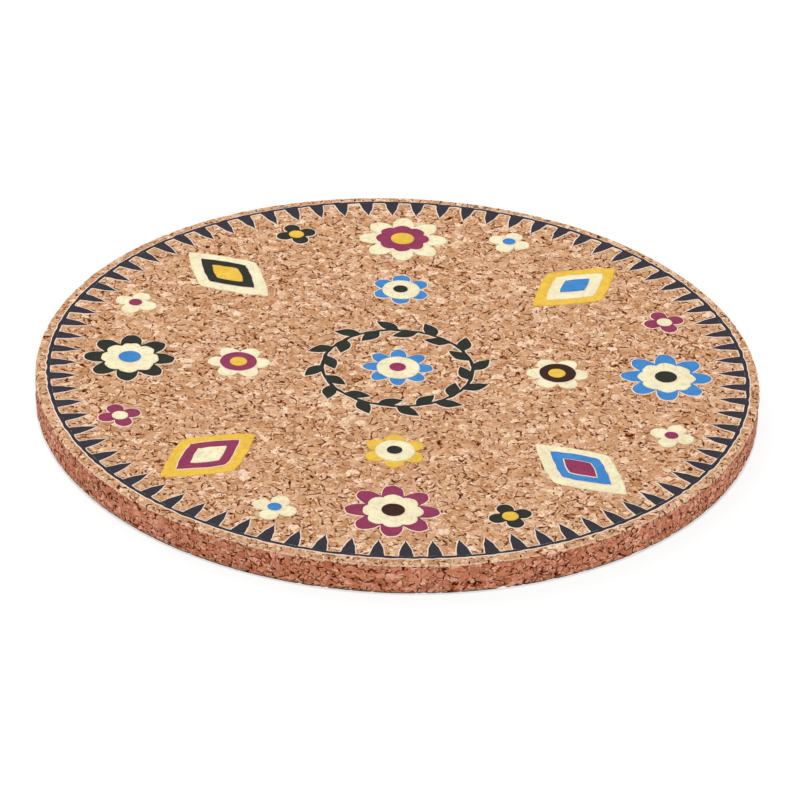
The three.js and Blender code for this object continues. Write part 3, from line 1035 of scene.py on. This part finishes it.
FLOOR_COLUMNS = 256
OPENING_MARGIN = 0.4 * MM     # by which the floor reaches under the disc
CONTACT = 0.05 * MM           # width of the darkest shadow round the disc
OWN_WHITE = (0.6, 0.9)        # strength of the floor's own white in the contact, and beyond it
SHADED_WHITE = (0.3, 0.12)    # what it takes of the light there
PAPER, OWN_TINT = (0.8, 0.8, 0.8, 1), (1, 1, 0.996, 1)
LAMP_WIDTH = 500 * MM
KEY_PLACE = (-300 * MM, 550 * MM, 850 * MM)
LEFT_PLACE = (-800 * MM, -600 * MM, 300 * MM)
RIGHT_PLACE = (800 * MM, -600 * MM, 300 * MM)
NEAREST, FURTHEST = 10 * MM, 20   # what the camera can see


def seen_directly(add):
    """1 where the camera or a mirror sees it, and 0 where it only gives light."""
    rays = add("LightPath", out=None)
    seen = rays["Is Camera Ray"]
    for kind in ("Is Glossy Ray", "Is Transmission Ray"):
        seen = add("Math", [seen, rays[kind]], operation="MAXIMUM")
    return seen


def paper_nodes(add, edge):
    """Matt white paper. Where the camera or a mirror sees it, most of its white is its own, so
    that it shows white with a soft shadow. It can't be seen from below."""
    place = add("TexCoord", out="Object")
    reach = add("VectorMath", [place], out="Value", operation="LENGTH")
    own_white, shade = (
        add("MapRange", {
            "Value": reach, "From Min": edge, "From Max": edge + CONTACT,
            "To Min": near, "To Max": beyond,
        })
        for near, beyond in (OWN_WHITE, SHADED_WHITE)
    )
    lit = add("BsdfDiffuse", [PAPER])
    own = add("Emission", [OWN_TINT, own_white])
    shaded = add("BsdfDiffuse", [shade])
    shown = add("AddShader", [shaded, own])
    front = add("MixShader", [seen_directly(add), lit, shown])
    behind = add("NewGeometry", out="Backfacing")
    surface = add("MixShader", [behind, front, add("BsdfTransparent")])
    add("OutputMaterial", [surface], out=None)


def build_floor(context):
    """A round floor with an opening under the disc, so that light reaches the underside in a
    view from below: one row of faces between two circles."""
    stage, disc = context.scene.coaster_stage, context.scene.coaster_disc
    angles = TURN * np.arange(FLOOR_COLUMNS) / FLOOR_COLUMNS
    inner = on_circle(disc.diameter / 2 - OPENING_MARGIN, angles)
    outer = on_circle(stage.floor_width / 2, angles)
    points = np.column_stack([np.concatenate([inner, outer]), np.zeros(2 * FLOOR_COLUMNS)])
    mesh = bpy.data.meshes.new("floor")
    mesh.from_pydata(points.tolist(), [], grid_faces(2, FLOOR_COLUMNS).tolist())
    mesh.materials.append(new_material("Matt_white_paper", paper_nodes, disc.diameter / 2))
    floor = bpy.data.objects.new("floor", mesh)
    context.scene.collection.objects.link(floor)


def build_light(context):
    """One wide soft lamp overhead and behind, one low at each side in front, and even light from
    all sides. This is stronger from below, where it reaches only the underside."""
    stage = context.scene.coaster_stage
    for name, power, place in (
        ("key", stage.key_power, KEY_PLACE), ("left", stage.left_power, LEFT_PLACE),
        ("right", stage.right_power, RIGHT_PLACE),
    ):
        lamp = bpy.data.lights.new(name, "AREA")
        lamp.shape, lamp.size, lamp.energy = "DISK", LAMP_WIDTH, power
        lit = bpy.data.objects.new(name, lamp)
        lit.location = place
        lit.rotation_euler = Vector(place).to_track_quat("Z", "Y").to_euler()
        context.scene.collection.objects.link(lit)
    world = bpy.data.worlds.new("studio")
    world.use_nodes = True
    world.node_tree.nodes.clear()
    add = partial(add_node, world.node_tree)
    heading = add("TexCoord", out="Generated")
    rise = add("SeparateXYZ", [heading], out=2)
    is_below = add("Math", [rise, 0], operation="LESS_THAN")
    even = add("Mix", {0: is_below, 2: stage.sky, 3: 1.0})
    strength = add("Mix", {0: seen_directly(add), 2: even, 3: 1.0})
    sky = add("Background", [(1, 1, 1, 1), strength])
    add("OutputWorld", [sky], out=None)
    context.scene.world = world


def build_camera(context):
    """A long lens that looks at the middle of the top face from the front, then is turned a
    little: by yaw about its own up, by pitch about its right and by roll about its sight."""
    stage, disc = context.scene.coaster_stage, context.scene.coaster_disc
    back = Vector((0, -math.cos(stage.elevation), math.sin(stage.elevation)))
    right = Vector((1, 0, 0))
    up = back.cross(right)
    turn = (
        Matrix.Rotation(stage.yaw, 3, up) @ Matrix.Rotation(stage.pitch, 3, right)
        @ Matrix.Rotation(-stage.roll, 3, back)
    )
    camera = bpy.data.objects.new("camera", bpy.data.cameras.new("camera"))
    camera.data.lens = stage.lens
    camera.data.clip_start, camera.data.clip_end = NEAREST, FURTHEST
    axes = turn @ Matrix((right, up, back)).transposed()
    camera.matrix_world = Matrix.Translation(
        Vector((0, 0, disc.thickness)) + back * stage.camera_distance
    ) @ axes.to_4x4()
    context.scene.collection.objects.link(camera)
    context.scene.camera = camera
    context.scene.view_settings.view_transform = "Standard"


# Operators, panel and start

class CoasterOperator:
    bl_options = {"REGISTER", "UNDO"}


class COASTER_OT_stage(CoasterOperator, bpy.types.Operator):
    """Makes the floor, the light and the camera"""

    bl_idname = "coaster.stage"
    bl_label = "Stage"

    def execute(self, context):
        build_floor(context)
        build_light(context)
        build_camera(context)
        return {"FINISHED"}


class COASTER_OT_disc(CoasterOperator, bpy.types.Operator):
    """Makes the disc of pressed cork"""

    bl_idname = "coaster.disc"
    bl_label = "Cork disc"

    def execute(self, context):
        build_disc(context)
        return {"FINISHED"}


class COASTER_OT_border(CoasterOperator, bpy.types.Operator):
    """Prints the toothed border"""

    bl_idname = "coaster.border"
    bl_label = "Border"

    def execute(self, context):
        build_border(context)
        return {"FINISHED"}


class COASTER_OT_flowers(CoasterOperator, bpy.types.Operator):
    """Prints the large flowers of the outer ring"""

    bl_idname = "coaster.flowers"
    bl_label = "Flowers"

    def execute(self, context):
        motifs = context.scene.coaster_motifs
        print_motifs(context, "flower", OUTER_PAIRS, False, {
            "petals": petal_outline(motifs.flower_radius, FLOWER_PETALS, motifs.petal_notch),
            "middle": petal_outline(motifs.flower_middle, FLOWER_PETALS, motifs.scallop_notch),
            "eye": round_outline(motifs.flower_eye),
        })
        return {"FINISHED"}


class COASTER_OT_lozenges(CoasterOperator, bpy.types.Operator):
    """Prints the lozenges between the flowers"""

    bl_idname = "coaster.lozenges"
    bl_label = "Lozenges"

    def execute(self, context):
        motifs = context.scene.coaster_motifs
        print_motifs(context, "lozenge", OUTER_PAIRS, True, {
            "field": lozenge_outline(motifs, 0),
            "band": lozenge_outline(motifs, motifs.band_inset),
            "eye": lozenge_outline(motifs, motifs.eye_inset),
        })
        return {"FINISHED"}


class COASTER_OT_blossoms(CoasterOperator, bpy.types.Operator):
    """Prints the small blossoms between the large motifs"""

    bl_idname = "coaster.blossoms"
    bl_label = "Blossoms"

    def execute(self, context):
        motifs = context.scene.coaster_motifs
        print_motifs(context, "blossom", 2 * OUTER_PAIRS, True, {
            "petals": petal_outline(motifs.blossom_radius, BLOSSOM_PETALS, motifs.blossom_notch),
            "eye": round_outline(motifs.blossom_eye),
        })
        return {"FINISHED"}


class COASTER_OT_rosettes(CoasterOperator, bpy.types.Operator):
    """Prints the rosettes of the inner ring"""

    bl_idname = "coaster.rosettes"
    bl_label = "Rosettes"

    def execute(self, context):
        motifs = context.scene.coaster_motifs
        print_motifs(context, "rosette", OUTER_PAIRS, False, {
            "petals": petal_outline(motifs.rosette_radius, ROSETTE_PETALS, motifs.petal_notch),
            "middle": round_outline(motifs.rosette_middle),
            "eye": round_outline(motifs.rosette_eye),
        })
        return {"FINISHED"}


class COASTER_OT_wreath(CoasterOperator, bpy.types.Operator):
    """Prints the leaf wreath"""

    bl_idname = "coaster.wreath"
    bl_label = "Wreath"

    def execute(self, context):
        build_wreath(context)
        return {"FINISHED"}


class COASTER_OT_centre(CoasterOperator, bpy.types.Operator):
    """Prints the flower in the middle"""

    bl_idname = "coaster.centre"
    bl_label = "Centre flower"

    def execute(self, context):
        motifs = context.scene.coaster_motifs
        print_motifs(context, "centre_flower", 1, False, {
            "petals": petal_outline(motifs.centre_radius, FLOWER_PETALS, motifs.petal_notch),
            "middle": round_outline(motifs.centre_middle),
            "eye": round_outline(motifs.centre_eye),
        })
        return {"FINISHED"}


SETTINGS = {
    "coaster_disc": CoasterDisc,
    "coaster_print": CoasterPrint,
    "coaster_motifs": CoasterMotifs,
    "coaster_colours": CoasterColours,
    "coaster_stage": CoasterStage,
}
OPERATORS = (
    COASTER_OT_stage, COASTER_OT_disc, COASTER_OT_border, COASTER_OT_flowers, COASTER_OT_lozenges,
    COASTER_OT_blossoms, COASTER_OT_rosettes, COASTER_OT_wreath, COASTER_OT_centre,
)


class COASTER_PT_panel(bpy.types.Panel):
    """Lists what can be built, and the sizes and colours"""

    bl_label = "Cork Coaster"
    bl_space_type = "VIEW_3D"
    bl_region_type = "UI"
    bl_category = "Coaster"

    def draw(self, context):
        for operator in OPERATORS:
            self.layout.operator(operator.bl_idname)
        for key, group in SETTINGS.items():
            box = self.layout.box()
            for name in group.__annotations__:
                box.prop(getattr(context.scene, key), name)


def register():
    for cls in (*SETTINGS.values(), *OPERATORS, COASTER_PT_panel):
        bpy.utils.register_class(cls)
    for key, group in SETTINGS.items():
        setattr(bpy.types.Scene, key, PointerProperty(type=group))


def unregister():
    for key in SETTINGS:
        delattr(bpy.types.Scene, key)
    for cls in (COASTER_PT_panel, *reversed(OPERATORS), *reversed(SETTINGS.values())):
        bpy.utils.unregister_class(cls)


def main():
    register()
    for operator in OPERATORS:
        group, name = operator.bl_idname.split(".")
        getattr(getattr(bpy.ops, group), name)()


if __name__ == "__main__":
    main()
